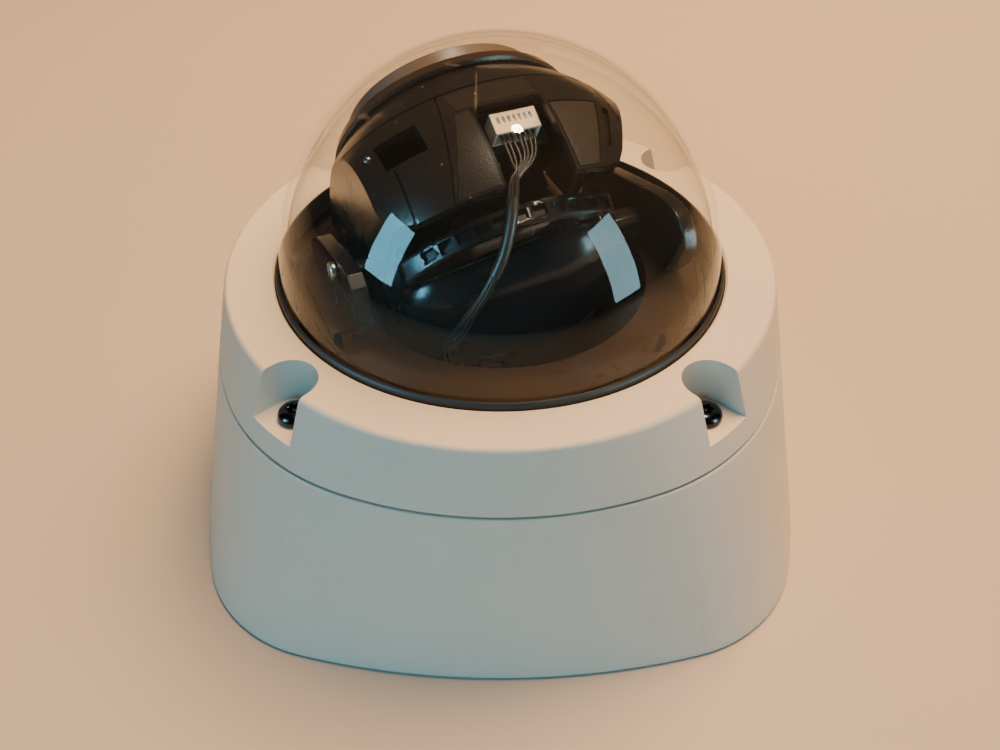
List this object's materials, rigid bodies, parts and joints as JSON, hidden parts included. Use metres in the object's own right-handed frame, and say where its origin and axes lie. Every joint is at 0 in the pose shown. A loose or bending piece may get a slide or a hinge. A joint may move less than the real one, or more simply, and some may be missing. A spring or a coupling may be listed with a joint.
{
  "type": "dome security camera",
  "caption": "Surface-mount vandal-resistant dome camera: soft-square housing, screwed cover ring with a clear bubble, and a pan, tilt and azimuth gimbal holding the lens unit.",
  "frame": {"origin": "centre of the flat mounting face under the housing, which lies on the plane z = 0", "axes": "+Z out of the mounting face through the top of the dome; -Y is the front wall of the housing; +X is to the right seen from the front"},
  "size_m": [0.154, 0.1547, 0.114],
  "materials": {
    "housing_paint": "fine textured light grey powder coat on die-cast aluminium",
    "clear_dome": "clear polycarbonate, polished, lightly scratched",
    "black_rubber": "matt",
    "black_plastic": "satin black",
    "satin_plastic": "satin dark brown-black",
    "hood_plastic": "smooth satin grey-brown",
    "white_plastic": "satin",
    "green_plastic": "satin",
    "circuit_board": "solder mask",
    "black_screw": "black oxide, polished",
    "steel": "zinc-plated",
    "zinc": "nickel-plated",
    "lens_glass": "coated optical glass",
    "filter_glass": "coated flat glass",
    "wire_sleeve": "matt sleeve"
  },
  "bodies": {
    "housing": {"base_housing": "housing_paint", "cover_seal": "black_rubber", "conduit_plug": "zinc", "conduit_seal": "black_rubber", "cable_grommet": "black_rubber", "main_board": "circuit_board", "board_screw_1": "steel", "board_screw_2": "steel", "board_screw_3": "steel", "board_screw_4": "steel", "ethernet_jack": "zinc", "power_terminal": "green_plastic", "io_terminal": "green_plastic", "camera_header": "white_plastic", "sd_socket": "zinc", "switch_body": "black_plastic", "gimbal_base": "black_plastic", "gimbal_screw_1": "steel", "gimbal_screw_2": "steel", "gimbal_screw_3": "steel", "pan_lock_screw": "steel"},
    "cover": {"cover_ring": "housing_paint", "dome_bubble": "clear_dome", "dome_gasket": "black_rubber", "dome_retainer": "black_plastic", "retainer_screw_1": "steel", "retainer_screw_2": "steel", "retainer_screw_3": "steel", "retainer_screw_4": "steel", "cover_screw_1": "black_screw", "cover_screw_2": "black_screw", "cover_screw_3": "black_screw", "cover_screw_4": "black_screw"},
    "pan_unit": {"pan_bowl": "satin_plastic", "yoke_arm_left": "black_plastic", "yoke_arm_right": "black_plastic", "wire_harness": "wire_sleeve"},
    "tilt_unit": {"camera_shell": "black_plastic", "rear_frame": "black_plastic", "rear_cover": "black_plastic", "processor_board": "circuit_board", "pivot_pin_left": "steel", "pivot_pin_right": "steel", "tilt_lock_screw": "steel", "connector_board": "circuit_board", "camera_plug": "white_plastic", "azimuth_collar": "satin_plastic"},
    "azimuth_unit": {"azimuth_hood": "hood_plastic", "lens_mount": "black_plastic", "sensor_board": "circuit_board", "lens_barrel": "black_plastic", "front_lens": "lens_glass"},
    "zoom": {"zoom_ring": "satin_plastic"},
    "focus": {"focus_ring": "satin_plastic"},
    "filter": {"ir_cut_filter": "filter_glass"},
    "button": {"reset_button": "white_plastic"},
    "card": {"sd_card": "black_plastic"}
  },
  "joints": [
    {"name": "cover_lift", "type": "slide", "parent": "housing", "child": "cover", "axis": [0, 0, 1], "range_m": [0, 0.1]},
    {"name": "pan", "type": "hinge", "parent": "housing", "child": "pan_unit", "pos_m": [0, 0, 0.0618], "axis": [0, 0, 1], "range_deg": [-175, 175], "deforming": ["wire_harness"]},
    {"name": "tilt", "type": "hinge", "parent": "pan_unit", "child": "tilt_unit", "pos_m": [0, 0, 0.0618], "axis": [0.9205, 0.3907, 0], "range_deg": [0, 60], "deforming": ["wire_harness"]},
    {"name": "azimuth", "type": "hinge", "parent": "tilt_unit", "child": "azimuth_unit", "pos_m": [0, 0, 0.0618], "axis": [-0.3384, 0.7972, 0.5], "range_deg": [-90, 90]},
    {"name": "zoom", "type": "hinge", "parent": "azimuth_unit", "child": "zoom", "pos_m": [0, 0, 0.0618], "axis": [-0.3384, 0.7972, 0.5], "range_deg": [-60, 60]},
    {"name": "focus", "type": "hinge", "parent": "azimuth_unit", "child": "focus", "pos_m": [0, 0, 0.0618], "axis": [-0.3384, 0.7972, 0.5], "range_deg": [-75, 75]},
    {"name": "filter_shuttle", "type": "slide", "parent": "azimuth_unit", "child": "filter", "axis": [0.9205, 0.3907, 0], "range_m": [0, 0.0075]},
    {"name": "reset_press", "type": "slide", "parent": "housing", "child": "button", "axis": [0, 0, -1], "range_m": [0, 0.0006], "stiffness_N_per_m": 1500},
    {"name": "card_slide", "type": "slide", "parent": "housing", "child": "card", "axis": [1, 0, 0], "range_m": [0, 0.016]}
  ]
}
